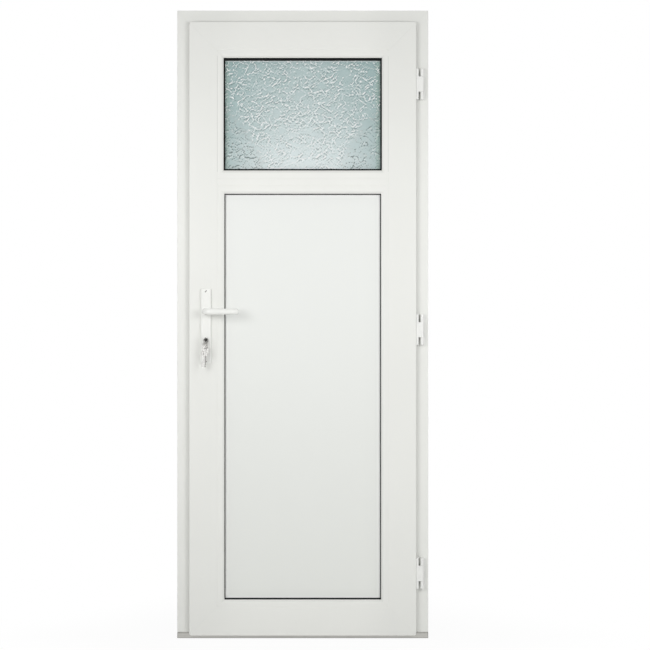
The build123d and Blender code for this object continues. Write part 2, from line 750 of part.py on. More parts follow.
# Hinges: frame leaf with two end knuckles, leaf with the middle knuckle, and a steel pin through all three
middle_knuckle = hinge_length - 2 * (hinge_end_knuckle + hinge_knuckle_gap)
for label, height in hinge_heights.items():
    low = height - hinge_length / 2
    with BuildPart() as frame_leaf:
        with BuildSketch(Plane.XY.offset(low)):
            with Locations((hinge_x - hinge_knuckle_radius + hinge_plate_width / 2, frame_room)):
                Rectangle(hinge_plate_width, hinge_plate_thickness, align=(Align.CENTER, Align.MAX))
        extrude(amount=hinge_length)
        with BuildSketch(Plane.XY.offset(low), Plane.XY.offset(low + hinge_length - hinge_end_knuckle)):
            with Locations((hinge_x, hinge_y)):
                Circle(hinge_knuckle_radius)
                Rectangle(hinge_web_thickness, hinge_axis_forward, align=(Align.CENTER, Align.MIN))
                Circle(hinge_pin_radius, mode=Mode.SUBTRACT)
        extrude(amount=hinge_end_knuckle)
    save(frame_leaf, f"{label}_hinge_frame_leaf")

    with BuildPart() as door_leaf:
        with BuildSketch(Plane.XY.offset(low)):
            with Locations((half_leaf, leaf_room)):
                Rectangle(hinge_strip_width, lip_thickness, align=(Align.MIN, Align.MIN))
        extrude(amount=hinge_length)
        fillet(door_leaf.edges().filter_by(Axis.Z).group_by(Axis.Y)[0].sort_by(Axis.X)[-1], hinge_soft_edge)
        with BuildSketch(Plane.XY.offset(height - middle_knuckle / 2)):
            with Locations((hinge_x, hinge_y)):
                Circle(hinge_knuckle_radius)
            with Locations((half_leaf + hinge_strip_width / 2, hinge_y - hinge_knuckle_radius)):
                Rectangle(
                    hinge_axis_out - hinge_strip_width / 2, hinge_web_thickness, align=(Align.MIN, Align.MIN)
                )
            with Locations((hinge_x, hinge_y)):
                Circle(hinge_pin_radius + hinge_pin_clearance, mode=Mode.SUBTRACT)
        extrude(amount=middle_knuckle)
    save(door_leaf, f"{label}_hinge_leaf")

with BuildPart() as hinge_pins:
    for height in hinge_heights.values():
        with BuildSketch(Plane.XY.offset(height - hinge_length / 2)):
            with Locations((hinge_x, hinge_y)):
                Circle(hinge_pin_radius)
        extrude(amount=hinge_length)
save(hinge_pins, "hinge_pins")
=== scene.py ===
# %% [markdown]
# # A white PVC service door
#
# The door comes as a finished CAD assembly: frame, leaf, beads, gaskets, glass unit, lock, handle and
# hinges. This lesson gives it its looks. It loads the assembly, writes one finish for each material,
# models the few small things that the CAD model leaves out, and then builds a plain studio around the
# door. Lengths are in metres. X goes to the right as seen from the room, Y out of doors, and Z up.

# %% Load the door
import json
from math import pi
from statistics import pstdev

import bpy
from mathutils import Matrix, Vector, noise


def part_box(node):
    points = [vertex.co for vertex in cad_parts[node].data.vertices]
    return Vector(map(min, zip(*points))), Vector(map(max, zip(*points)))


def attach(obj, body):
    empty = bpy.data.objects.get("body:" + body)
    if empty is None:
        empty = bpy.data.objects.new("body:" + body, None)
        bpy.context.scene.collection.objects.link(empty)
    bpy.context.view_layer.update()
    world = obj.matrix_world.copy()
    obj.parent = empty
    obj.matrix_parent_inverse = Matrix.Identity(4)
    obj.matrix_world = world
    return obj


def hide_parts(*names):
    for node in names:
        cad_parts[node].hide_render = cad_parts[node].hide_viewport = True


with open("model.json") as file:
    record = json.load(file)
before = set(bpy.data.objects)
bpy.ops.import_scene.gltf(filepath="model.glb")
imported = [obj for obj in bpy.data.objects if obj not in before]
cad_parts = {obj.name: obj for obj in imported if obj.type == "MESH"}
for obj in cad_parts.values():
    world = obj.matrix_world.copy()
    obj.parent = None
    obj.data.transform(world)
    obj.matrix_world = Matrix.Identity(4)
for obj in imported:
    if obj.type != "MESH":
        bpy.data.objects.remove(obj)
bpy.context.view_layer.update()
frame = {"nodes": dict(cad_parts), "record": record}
nodes = frame["nodes"]

# %% [markdown]
# ## Measures
#
# Places could be fitted by eye, but then they would be wrong as soon as the CAD model changes. Here they
# follow from the pieces: a node's box gives its lowest and its highest corner. The lock stile tells the
# size of the leaf, and the left jamb that of the frame, because the door's middle lies at X = 0.

# %% Measure the leaf and the frame
stile_low, stile_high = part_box("lock_stile")
leaf_half_width = -stile_low.x
leaf_middle = (stile_low.z + stile_high.z) / 2
leaf_half_height = (stile_high.z - stile_low.z) / 2
jamb_low, jamb_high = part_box("left_jamb")
print("The leaf is", round(2 * leaf_half_width, 4), "wide and", round(2 * leaf_half_height, 4), "high")

# %% [markdown]
# The glass is larger than the field that shows, because its edges stand in the rebate. The lip of the
# front gasket bounds what shows, so the gasket's innermost points are looked for. One node holds the
# gaskets of the glass and of the panel, and only points above the foot of the glass belong to the glass.

# %% Measure the glass
pane_low, pane_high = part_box("glass_front_pane")
pane_half_width = pane_high.x
pane_width = 2 * pane_half_width
pane_height = pane_high.z - pane_low.z
pane_middle = (pane_low.z + pane_high.z) / 2
lips = [vertex.co for vertex in nodes["front_gaskets"].data.vertices if vertex.co.z > pane_low.z]
opening_top = min(point.z for point in lips if point.z > pane_middle)
opening_side = min(point.x for point in lips if point.x > 0)
print("The glass shows up to", round(opening_top, 4), "and", round(opening_side, 4), "to either side")

# %% [markdown]
# Beads hold the glass and the panel, four to each. The field that they leave free is called the daylight.
# A bead meets its stile at the edge of its front face. Its box reaches further, because a tongue at its
# back goes under the stile, so only points that lie on the face count.

# %% Measure the beads
FACE_TOLERANCE = 0.001


def daylight(light):
    """Two corners of the field that the beads of the glass or the panel leave free."""
    sides = ("left", "right", "bottom", "top")
    left, right, bottom, top = (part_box(f"{light}_bead_{side}") for side in sides)
    return Vector((left[1].x, 0.0, bottom[1].z)), Vector((right[0].x, 0.0, top[0].z))


glass_light = daylight("glass")
panel_light = daylight("panel")
bead_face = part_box("glass_bead_left")[0].y + FACE_TOLERANCE
bead_points = [vertex.co for vertex in nodes["glass_bead_left"].data.vertices]
glass_joint = -min(point.x for point in bead_points if point.y < bead_face)
print("The glass beads meet the stiles", round(glass_joint, 4), "from the middle")

# %% [markdown]
# ## A short way to write shaders
#
# A finish is a net of small nodes. It could be drawn by hand in the shader editor, but written as sums it
# is easier to read and to change. The class `Signal` wraps one socket whose value changes over the
# surface, so that `1 - seam * 0.1` adds its own Math nodes.

# %% Signals
class Signal:
    """A value that changes over a surface, ready for sums."""

    def __init__(self, net, socket):
        self.net = net
        self.socket = socket

    def math(self, operation, *values):
        return self.net.node("ShaderNodeMath", {"operation": operation}, dict(enumerate(values)))

    def __add__(self, other):
        return self.math("ADD", self, other)

    def __radd__(self, other):
        return self.math("ADD", other, self)

    def __sub__(self, other):
        return self.math("SUBTRACT", self, other)

    def __rsub__(self, other):
        return self.math("SUBTRACT", other, self)

    def __mul__(self, other):
        return self.math("MULTIPLY", self, other)

    def __rmul__(self, other):
        return self.math("MULTIPLY", other, self)

    def __abs__(self):
        return self.math("ABSOLUTE", self)


# %% [markdown]
# The class `Net` looks after one node tree. Any node that isn't a sum comes from its method `node`, which
# takes the node's type, then its settings, then the values or signals of its sockets.

# %% Nets
class Net:
    """A tree of shader nodes."""

    def __init__(self, tree):
        self.tree = tree

    def set(self, node, inputs):
        """Fill a node's sockets with plain values or with signals."""
        for key, value in inputs.items():
            if isinstance(value, Signal):
                self.tree.links.new(value.socket, node.inputs[key])
            else:
                node.inputs[key].default_value = value

    def node(self, kind, settings, inputs, output=0):
        """Add a node and give back one of its outputs."""
        node = self.tree.nodes.new(kind)
        for name, value in settings.items():
            setattr(node, name, value)
        self.set(node, inputs)
        return Signal(self, node.outputs[output])


# %% [markdown]
# A `Finish` is the net of a material with one Principled shader. Its methods are what all finishes of
# this door need: the place of a point, soft noise, a smooth step, the distance from a rectangle, and a
# blend of colours. They read Object coordinates, so that a pattern stays on its piece when the leaf
# swings.

# %% Finishes
MIX_SHARE, MIX_FIRST_COLOUR, MIX_SECOND_COLOUR = 0, 6, 7
MIX_COLOUR_OUT = 2


class Finish(Net):
    """A material with one Principled shader."""

    def __init__(self, name, **constants):
        self.material = bpy.data.materials.new(name)
        self.material.use_nodes = True
        super().__init__(self.material.node_tree)
        self.shader = self.tree.nodes["Principled BSDF"]
        self.set(self.shader, {socket.replace("_", " "): value for socket, value in constants.items()})

    def place(self, axis):
        """Where a point of the piece is along X, Y or Z."""
        spot = self.node("ShaderNodeTexCoord", {}, {}, "Object")
        return self.node("ShaderNodeSeparateXYZ", {}, {"Vector": spot}, axis)

    def grain(self, scale, detail=2.0, stretch=(1.0, 1.0, 1.0)):
        """Soft noise of so many spots a metre, from 0 to 1."""
        spot = self.node("ShaderNodeTexCoord", {}, {}, "Object")
        spot = self.node("ShaderNodeMapping", {}, {"Vector": spot, "Scale": stretch})
        return self.node("ShaderNodeTexNoise", {}, {"Vector": spot, "Scale": scale, "Detail": detail}, "Fac")

    def ramp(self, value, low, high):
        """A smooth step from 0 at low to 1 at high."""
        inputs = {"Value": value, "From Min": low, "From Max": high}
        return self.node("ShaderNodeMapRange", {"interpolation_type": "SMOOTHSTEP"}, inputs)

    def beyond(self, low, high):
        """How far a point lies outside a box as seen from the front; inside it is negative."""
        across = abs(self.place("X") - (low.x + high.x) / 2) - (high.x - low.x) / 2
        along = abs(self.place("Z") - (low.z + high.z) / 2) - (high.z - low.z) / 2
        return across.math("MAXIMUM", across, along)

    def blend(self, share, first, second):
        """A colour between two colours."""
        inputs = {MIX_SHARE: share, MIX_FIRST_COLOUR: first, MIX_SECOND_COLOUR: second}
        return self.node("ShaderNodeMix", {"data_type": "RGBA"}, inputs, MIX_COLOUR_OUT)

    def dress(self, colour, roughness, height=None, depth=0.0):
        """Give the shader its colour, its gloss and, from a height, its relief."""
        inputs = {"Base Color": colour, "Roughness": roughness}
        if height is not None:
            inputs["Normal"] = self.node("ShaderNodeBump", {}, {"Height": height, "Distance": depth})
        self.set(self.shader, inputs)
        print(self.material.name, "is a net of", len(self.tree.nodes), "nodes")
        return self.material


def colour(red, green, blue):
    return (red, green, blue, 1.0)


# %% [markdown]
# ## White PVC
#
# The frame and the leaf are extruded PVC, cut at 45 degrees and welded at the corners. The cleaned weld
# leaves a fine groove on every mitre. It could be cut into the mesh, but it is less than a millimetre
# wide, so the finish draws it: a mitre is where a point is equally far from both outer edges, and that
# difference is all it takes.

# %% Weld lines
WELD_HALF_WIDTH = 0.0004


def weld_line(finish, half_width, middle, half_height):
    """1 on the mitres of a rectangle, 0 beside them."""
    across = half_width - abs(finish.place("X"))
    along = half_height - abs(finish.place("Z") - middle)
    return 1 - finish.ramp(abs(across - along), 0.0, WELD_HALF_WIDTH)


print("Welds are", 2 * WELD_HALF_WIDTH, "wide")

# %% [markdown]
# Close up the plastic isn't one flat white. It is a trace cloudy and greyer in the welds, and painted shade
# makes it greyer towards the sides and towards the top and the foot of the door. A blend between two whites
# holds all of that.

# %% Tone of the plastic, with painted shade
PVC_WHITE = colour(0.855, 0.860, 0.825)
PVC_GREY_AND_PAINTED_SHADE = colour(0.790, 0.796, 0.764)
SIDES_FROM, SIDES_TO = 0.16, 0.30
ENDS_FROM, ENDS_TO = 0.5, 0.95
CLOUD_SHARE, SIDES_SHARE, ENDS_SHARE, WELD_SHARE = 0.2, 0.5, 0.35, 0.3


def plastic_tone_and_shade(finish, weld):
    cloud = finish.ramp(finish.grain(scale=3.0), low=0.35, high=0.75)
    # Painted shade: greyer towards the sides and towards the top and the foot of the door.
    sides = finish.ramp(abs(finish.place("X")), SIDES_FROM, SIDES_TO)
    painted_end_shade = finish.ramp(abs(finish.place("Z") - leaf_middle), ENDS_FROM, ENDS_TO)
    grey = cloud * CLOUD_SHARE + sides * SIDES_SHARE + painted_end_shade * ENDS_SHARE + weld * WELD_SHARE
    return finish.blend(grey, PVC_WHITE, PVC_GREY_AND_PAINTED_SHADE)


print("The plastic gets greyer from", SIDES_FROM, "to", SIDES_TO, "beside the middle")

# %% [markdown]
# The beads slope down towards the glass and the panel. The slope catches less light, so painted shade makes
# the white greyer over its last centimetre. Beside the glass a fine joint shows where the bead is clipped
# into the stile, darkened with painted shade in its gap. Both are drawn by distance, on the stiles and rails
# as on the beads, because all share this finish.

# %% Bead slopes and joints, with painted shade
BEAD_PAINTED_SHADE = colour(0.60, 0.605, 0.58)
BEAD_SLOPE = 0.010
SLOPE_SHARE = 0.5
JOINT_HALF_WIDTH = 0.0012
JOINT_SHARE = 0.8
JOINT_END, JOINT_FADE = 0.006, 0.004


def bead_painted_shade(finish, tone):
    for light in (glass_light, panel_light):
        # Painted shade over the last centimetre of each bead slope.
        slope = 1 - finish.ramp(finish.beyond(*light), 0.0, BEAD_SLOPE)
        tone = finish.blend(slope * SLOPE_SHARE, tone, BEAD_PAINTED_SHADE)
    # Painted shade in the joint beside the glass.
    joint = 1 - finish.ramp(abs(abs(finish.place("X")) - glass_joint), 0.0, JOINT_HALF_WIDTH)
    foot, head = glass_light[0].z, glass_light[1].z
    above_foot = finish.ramp(finish.place("Z"), foot - JOINT_END, foot - JOINT_FADE)
    above_head = finish.ramp(finish.place("Z"), head + JOINT_FADE, head + JOINT_END)
    return finish.blend(joint * (above_foot - above_head) * JOINT_SHARE, tone, BEAD_PAINTED_SHADE)


print("The bead slopes are", BEAD_SLOPE, "wide, and their joints", 2 * JOINT_HALF_WIDTH)

# %% [markdown]
# Frame and leaf now differ only in their mitres. The leaf has four. The frame has two, at the top,
# because its jambs stand on the threshold: with a half height that is far too large, its lower mitres lie
# below the floor. The gloss changes a little where cloths have wiped along the profiles.

# %% White PVC of the leaf and the frame
def welded_pvc(name, half_width, middle, half_height):
    finish = Finish(name, Specular_IOR_Level=0.35, Coat_Weight=0.1, Coat_Roughness=0.25)
    weld = weld_line(finish, half_width, middle, half_height)
    tone = bead_painted_shade(finish, plastic_tone_and_shade(finish, weld))
    wipe = finish.grain(scale=9.0, detail=4.0, stretch=(1.0, 1.0, 0.25))
    fine = finish.grain(scale=900.0, detail=1.0)
    return finish.dress(tone, roughness=0.26 + wipe * 0.14, height=fine * 0.04 - weld, depth=0.0003)


leaf_pvc = welded_pvc("leaf_pvc", leaf_half_width, leaf_middle, leaf_half_height)
tall_half_height = 2 * leaf_half_height
frame_pvc = welded_pvc("frame_pvc", -jamb_low.x, jamb_high.z - tall_half_height, tall_half_height)

# %% [markdown]
# ## Infill panel
#
# The lower field is a foam core between two thin smooth sheets. The sheet is a cooler white than the
# extruded profiles and a little flatter in gloss, with the faint long waves that a thin skin shows in raking
# light, and painted shade makes it greyer towards the floor. Along the gasket a painted bright margin
# lightens it, and at the foot runs a thin dark line. Both follow the daylight of the panel, so they need no
# mask painted onto the sheet.

# %% Smooth sheet of the infill panel, with painted shade and painted light
SHEET_WHITE = colour(0.850, 0.865, 0.843)
SHEET_GREY_AND_SHADE = colour(0.772, 0.786, 0.752)
PAINTED_MARGIN_LIGHT = colour(0.97, 0.98, 0.96)
SHEET_FOOT_LINE = colour(0.05, 0.05, 0.05)
SHADE_TOP = 1.5
WAVE_SHARE, LOW_SHARE, MARGIN_SHARE = 0.3, 0.7, 0.8
MARGIN_START, MARGIN_FULL = 0.016, 0.002
FOOT_LINE_FULL, FOOT_LINE_END = 0.0036, 0.0046

sheet = Finish("panel_skin", Specular_IOR_Level=0.4)
waves = sheet.grain(scale=2.2, detail=1.0, stretch=(1.0, 1.0, 0.4))
# Painted shade: greyer towards the floor.
painted_low_shade = 1 - sheet.ramp(sheet.place("Z"), 0.0, SHADE_TOP)
cool = sheet.blend(waves * WAVE_SHARE + painted_low_shade * LOW_SHARE, SHEET_WHITE, SHEET_GREY_AND_SHADE)
# Painted light: a bright margin along the gasket.
painted_margin = sheet.ramp(sheet.beyond(*panel_light), -MARGIN_START, -MARGIN_FULL)
cool = sheet.blend(painted_margin * MARGIN_SHARE, cool, PAINTED_MARGIN_LIGHT)
panel_foot = panel_light[0].z
# A thin dark line along the foot of the panel.
foot_line = 1 - sheet.ramp(sheet.place("Z"), panel_foot + FOOT_LINE_FULL, panel_foot + FOOT_LINE_END)
cool = sheet.blend(foot_line, cool, SHEET_FOOT_LINE)
wipes = sheet.grain(scale=14.0)
panel_skin = sheet.dress(cool, roughness=0.32 + wipes * 0.12, height=waves, depth=0.0008)

# %% [markdown]
# ## Rubber
#
# Gaskets and seals are black extruded rubber. It is never pure black: dust greys it, and its surface is
# slightly grainy, so the gloss breaks up. Noise of two sizes gives both.

# %% Rubber of the seals
RUBBER_BLACK = colour(0.003, 0.004, 0.004)
RUBBER_DUSTY = colour(0.012, 0.013, 0.012)

rubber = Finish("seal_rubber", Specular_IOR_Level=0.1)
dust = rubber.ramp(rubber.grain(scale=60.0, detail=3.0), low=0.45, high=0.8)
black = rubber.blend(dust * 0.5, RUBBER_BLACK, RUBBER_DUSTY)
pores = rubber.grain(scale=1500.0)
seal_rubber = rubber.dress(black, roughness=0.5 + dust * 0.2, height=pores, depth=0.0002)

# %% [markdown]
# The two panes of the glass unit are held apart and sealed at their edge. What shows of it is a dark
# compound with fine specks. It lies behind glass, so it needs no relief.

# %% Edge of the glass unit
COMPOUND_DARK = colour(0.008, 0.010, 0.010)
COMPOUND_SPECK = colour(0.03, 0.03, 0.03)

compound = Finish("spacer_bar", Specular_IOR_Level=0.3)
speck = compound.ramp(compound.grain(scale=250.0, detail=1.0), low=0.4, high=0.7)
specked = compound.blend(speck, COMPOUND_DARK, COMPOUND_SPECK)
spacer_bar = compound.dress(specked, roughness=0.55 + speck * 0.1)

# %% [markdown]
# ## Metals
#
# The threshold is drawn aluminium, so its fine lines run along the door's width: noise that is stretched
# along X gives them. Shoes scuff it, and painted shade darkens it along its edges, which the distance from
# its box finds.

# %% Aluminium of the threshold, with painted shade at its edges
ALUMINIUM_BRIGHT = colour(0.54, 0.535, 0.505)
ALUMINIUM_DULL = colour(0.385, 0.38, 0.36)
EDGE_PAINTED_SHADE = colour(0.16, 0.16, 0.15)
EDGE_START, EDGE_FULL = 0.004, 0.001
LINES_SHARE, SCUFF_SHARE, EDGE_SHARE = 0.7, 0.3, 0.4

drawn = Finish("threshold_aluminium", Metallic=1.0)
lines = drawn.grain(scale=700.0, detail=2.0, stretch=(0.01, 1.0, 1.0))
scuff = drawn.ramp(drawn.grain(scale=18.0, detail=4.0), low=0.5, high=0.8)
grey = drawn.blend(lines * LINES_SHARE + scuff * SCUFF_SHARE, ALUMINIUM_BRIGHT, ALUMINIUM_DULL)
# Painted shade along the threshold's edges.
shaded_edges = drawn.ramp(drawn.beyond(*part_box("threshold")), -EDGE_START, -EDGE_FULL)
grey = drawn.blend(shaded_edges * EDGE_SHARE, grey, EDGE_PAINTED_SHADE)
threshold_aluminium = drawn.dress(grey, roughness=0.36 + lines * 0.16, height=lines, depth=0.0002)

# %% [markdown]
# Lock plates, bolts and pins are zinc plated steel. The plating has a soft cloudy bloom and is brushed
# along the height of the door, so its grain is stretched along Z.

# %% Zinc plated steel
ZINC_BRIGHT = colour(0.56, 0.56, 0.55)
ZINC_BLOOM = colour(0.43, 0.43, 0.42)

plated = Finish("lock_steel", Metallic=1.0)
bloom = plated.ramp(plated.grain(scale=45.0, detail=4.0), low=0.3, high=0.75)
brush = plated.grain(scale=1200.0, detail=1.0, stretch=(1.0, 1.0, 0.02))
zinc = plated.blend(bloom, ZINC_BRIGHT, ZINC_BLOOM)
lock_steel = plated.dress(zinc, roughness=0.28 + brush * 0.18, height=brush, depth=0.0001)

# %% [markdown]
# Cylinder, keys and ring are nickel that hands have dulled in patches. One of the two spare keys is an
# older, darker one, and both have plain blades. Round the keyway painted shade turns the metal nearly black,
# for the shadow that the key casts there. Places on the keys tell all of these apart.

# %% Nickel of the cylinder and the keys
NICKEL_BRIGHT = colour(0.58, 0.575, 0.555)
NICKEL_DULL = colour(0.20, 0.195, 0.185)
BLADE_NEW = colour(0.52, 0.515, 0.50)
BLADE_OLD = colour(0.22, 0.215, 0.205)
KEYWAY_PAINTED_SHADE = colour(0.02, 0.02, 0.018)
BLADE_LENGTH = 0.035
KEY_FADE = 0.001
KEYWAY_RISE = 0.003
KEYWAY_FULL, KEYWAY_END = 0.003, 0.0115

key_low, key_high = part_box("cylinder_key")
spare_low, spare_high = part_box("spare_keys")
blade_top = spare_low.z + BLADE_LENGTH
between_keys = (spare_low.x + spare_high.x) / 2
keyway_x = (key_low.x + key_high.x) / 2
keyway_z = (key_low.z + key_high.z) / 2 + KEYWAY_RISE

worn = Finish("cylinder_nickel", Metallic=1.0)
touch = worn.ramp(worn.grain(scale=300.0), low=0.48, high=0.62)
nickel = worn.blend(touch, NICKEL_BRIGHT, NICKEL_DULL)
blade = 1 - worn.ramp(worn.place("Z"), blade_top - KEY_FADE, blade_top + KEY_FADE)
older = worn.ramp(worn.place("X"), between_keys - KEY_FADE, between_keys + KEY_FADE)
nickel = worn.blend(blade, nickel, worn.blend(older, BLADE_NEW, BLADE_OLD))
# Painted shade round the keyway.
from_keyway = abs(worn.place("X") - keyway_x) + abs(worn.place("Z") - keyway_z)
nickel = worn.blend(1 - worn.ramp(from_keyway, KEYWAY_FULL, KEYWAY_END), nickel, KEYWAY_PAINTED_SHADE)
pits = worn.grain(scale=900.0)
cylinder_nickel = worn.dress(nickel, roughness=0.3 + touch * 0.2, height=pits, depth=0.00015)

# %% [markdown]
# ## White coating
#
# Handle and hinges are metal with a baked white coating. It is smoother and brighter than the PVC, with a
# very slight orange peel, and on the hinges it is duller because they are seldom wiped. The slots of the
# screws, which are modelled further down, carry an attribute on their faces, and the coating turns dark
# there with painted shade for the recess. A piece without that attribute reads 0 and stays white.

# %% Coating of the handle and the hinges
SLOT_PAINTED_SHADE = colour(0.02, 0.02, 0.018)


def white_coating(name, white, dull, roughness):
    finish = Finish(name, Coat_Weight=0.3, Coat_Roughness=0.12)
    peel = finish.grain(scale=420.0, detail=1.0)
    haze = finish.ramp(finish.grain(scale=35.0, detail=3.0), low=0.35, high=0.8)
    slot_shade = finish.node("ShaderNodeAttribute", {"attribute_name": "slot_shade"}, {}, "Fac")
    # Painted shade in the screw slots, from the attribute on their faces.
    tone = finish.blend(slot_shade, finish.blend(haze, white, dull), SLOT_PAINTED_SHADE)
    return finish.dress(tone, roughness=roughness + haze * 0.1, height=peel, depth=0.00012)


handle_white, handle_dull = colour(0.88, 0.885, 0.855), colour(0.85, 0.855, 0.825)
handle_coating = white_coating("handle_coating", handle_white, handle_dull, roughness=0.18)
hinge_white, hinge_dull = colour(0.84, 0.845, 0.82), colour(0.80, 0.805, 0.785)
hinge_coating = white_coating("hinge_coating", hinge_white, hinge_dull, roughness=0.3)

# %% [markdown]
# ## Glass
#
# The pane towards the room is rolled ornamental glass: smooth islands between bands of fine crackle.
# Clear glass with a rough surface would show the white studio through it, but the real pane scatters its
# light, so most of the light comes from a pale body with a tint. A painted glow makes that body brightest at
# the foot and in the middle, and darker towards the top and the sides. Near the sides the green of the cut
# edge shines through.

# %% Body of the crackled glass, with painted glow
GLASS_DIM = colour(0.325, 0.47, 0.47)
GLASS_BRIGHT = colour(0.835, 0.91, 0.915)
GLASS_GREEN = colour(0.36, 0.51, 0.44)
FOOT_GLOW, GLOW_FALL, GLOW_CURVE = 1.18, 1.4, 0.5
SIDE_FALL = 0.82
DRIFT_SHARE = 0.2
GREEN_START, GREEN_FULL = 0.06, 0.04
GREEN_SHARE = 0.5

crackled = Finish("obscured_glass", Transmission_Weight=0.25, IOR=1.5)
aside = abs(crackled.place("X")) * (1 / pane_half_width)
rise = (crackled.place("Z") - pane_low.z) * (1 / pane_height)
drift = crackled.grain(scale=22.0)
# Painted glow: brightest at the foot and in the middle, darker towards the top and the sides.
upwards = FOOT_GLOW - rise * (GLOW_FALL - rise * GLOW_CURVE)
painted_glow = upwards * (1 - aside * aside * SIDE_FALL) + drift * DRIFT_SHARE - DRIFT_SHARE / 2
body = crackled.blend(painted_glow, GLASS_DIM, GLASS_BRIGHT)
lip_place = opening_side / pane_half_width
green = crackled.ramp(aside, lip_place - GREEN_START, lip_place - GREEN_FULL)
body = crackled.blend(green * GREEN_SHARE, body, GLASS_GREEN)
print("The lip of the gasket lies at", round(lip_place, 3), "of the pane's half width")

# %% [markdown]
# The relief is modelled further down. It leaves the attribute `ridge` on the mesh: above 0 on ridges and on
# flanks that face the light, below 0 in hollows. Over most of the pane the ridges get painted glints and the
# hollows painted shade. In the lower corners it is the other way round, because there the ridges bend the
# view towards something darker.

# %% Painted glints and shade on the strokes in the crackled glass
STROKE_PAINTED_SHADE = colour(0.15, 0.21, 0.20)
STROKE_PAINTED_GLINT = colour(1.0, 1.0, 1.0)
RIDGE_START, RIDGE_FULL = 0.15, 1.15
HOLLOW_START, HOLLOW_FULL = -0.18, -1.0
CORNER_START, CORNER_FULL = 0.38, 0.48
HOLLOW_DARK, CORNER_HOLLOW_LOSS = 0.55, 0.3
CORNER_RIDGE_LOSS, CORNER_HOLLOW_GLINT = 0.9, 0.4

ridge = crackled.node("ShaderNodeAttribute", {"attribute_name": "ridge"}, {}, "Fac")
raised = crackled.ramp(ridge, RIDGE_START, RIDGE_FULL)
sunken = crackled.ramp(ridge, HOLLOW_START, HOLLOW_FULL)
corner = crackled.ramp(aside * (1 - rise), CORNER_START, CORNER_FULL)
# Painted shade and painted glints, read from the attribute.
shadow = sunken * (HOLLOW_DARK - corner * CORNER_HOLLOW_LOSS) + raised * corner
glint = raised * (1 - corner * CORNER_RIDGE_LOSS) + sunken * corner * CORNER_HOLLOW_GLINT
body = crackled.blend(shadow, body, STROKE_PAINTED_SHADE)
body = crackled.blend(glint, body, STROKE_PAINTED_GLINT)
print("Strokes turn dark where side and foot multiply to more than", CORNER_START)

# %% [markdown]
# Right under the upper gasket a painted reflection and shadow of its black lip make a dark line on the
# glass, and below that runs a thin painted highlight. Both lie at a fixed distance from the lip.

# %% Painted lines under the upper gasket
RIM_PAINTED_HIGHLIGHT = colour(0.95, 0.97, 0.965)
RIM_PAINTED_DARK = colour(0.004, 0.005, 0.005)
BRIGHT_START, BRIGHT_FULL = 0.0065, 0.0045
BLACK_START, BLACK_FULL = 0.0032, 0.0022
RIM_BRIGHT_SHARE = 0.4

height_on_pane = crackled.place("Z")
painted_highlight_line = crackled.ramp(height_on_pane, opening_top - BRIGHT_START, opening_top - BRIGHT_FULL)
painted_dark_line = crackled.ramp(height_on_pane, opening_top - BLACK_START, opening_top - BLACK_FULL)
# Painted highlight, then the painted reflection and shadow of the black lip.
body = crackled.blend(painted_highlight_line * RIM_BRIGHT_SHARE, body, RIM_PAINTED_HIGHLIGHT)
body = crackled.blend(painted_dark_line, body, RIM_PAINTED_DARK)
obscured_glass = crackled.dress(body, roughness=0.12 + drift * 0.12)

# %% [markdown]
# The pane towards the outside is plain float glass with a trace of green and a thin uneven film of dirt,
# so here the shader is clear glass.

# %% Clear glass
FLOAT_CLEAN = colour(0.90, 0.96, 0.95)
FLOAT_FILMED = colour(0.84, 0.92, 0.90)

float_glass = Finish("clear_glass", Transmission_Weight=1.0, IOR=1.5)
film = float_glass.ramp(float_glass.grain(scale=30.0, detail=3.0), low=0.5, high=0.9)
tint = float_glass.blend(film, FLOAT_CLEAN, FLOAT_FILMED)
clear_glass = float_glass.dress(tint, roughness=0.01 + film * 0.04)

# %% [markdown]
# ## Dress the CAD pieces
#
# Each piece could be given its material by hand. The record already says which material slot a piece
# belongs to, so one table of finishes dresses them all, and new pieces find their finish in the same
# table.

# %% Give every piece its finish
finishes = {
    "leaf_pvc": leaf_pvc,
    "frame_pvc": frame_pvc,
    "panel_skin": panel_skin,
    "seal_rubber": seal_rubber,
    "spacer_bar": spacer_bar,
    "threshold_aluminium": threshold_aluminium,
    "lock_steel": lock_steel,
    "cylinder_nickel": cylinder_nickel,
    "handle_coating": handle_coating,
    "hinge_coating": hinge_coating,
    "obscured_glass": obscured_glass,
    "clear_glass": clear_glass,
}
for subpart in frame["record"]["subparts"]:
    mesh = nodes[subpart["node"]].data
    mesh.materials.clear()
    mesh.materials.append(finishes[subpart["material_slot"]])

# %% [markdown]
# ## Working on one piece at a time
#
# Operators act on whatever is selected, and the loaded pieces are still selected. Two helpers keep that
# in hand: one selects a single piece, the other names a finished piece, dresses it and lets it ride on a
# body of the door.

# %% Helpers for new pieces
def select_only(*pieces):
    bpy.ops.object.select_all(action="DESELECT")
    for piece in pieces:
        piece.select_set(True)
    bpy.context.view_layer.objects.active = pieces[0]


def hand_over(piece, name, body, slot):
    select_only(piece)
    bpy.ops.object.transform_apply(location=True, rotation=True, scale=True)
    piece.name = name
    piece.data.name = name
    piece.data.materials.clear()
    piece.data.materials.append(finishes[slot])
    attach(piece, body)
    print(name, "has", len(piece.data.polygons), "faces and rides on", body)


# %% [markdown]
# ## Relief of the crackled pane
#
# Rolled glass gets its relief from an engraved roller, so only one face has it. A bump map could fake it,
# but the strokes are wide enough to be seen, so they are modelled: a fine grid stands upright in the
# place of the pane's front, and textures push its points. The strokes of the real pane lie rather flat,
# so the grid starts too narrow and is drawn to its full width after the pressing, which draws the strokes
# out with it.

# %% Lay out the grid
GRID_STEP = 0.0022
RELIEF = 0.0018
DRAW = 1.6
QUARTER_TURN = pi / 2

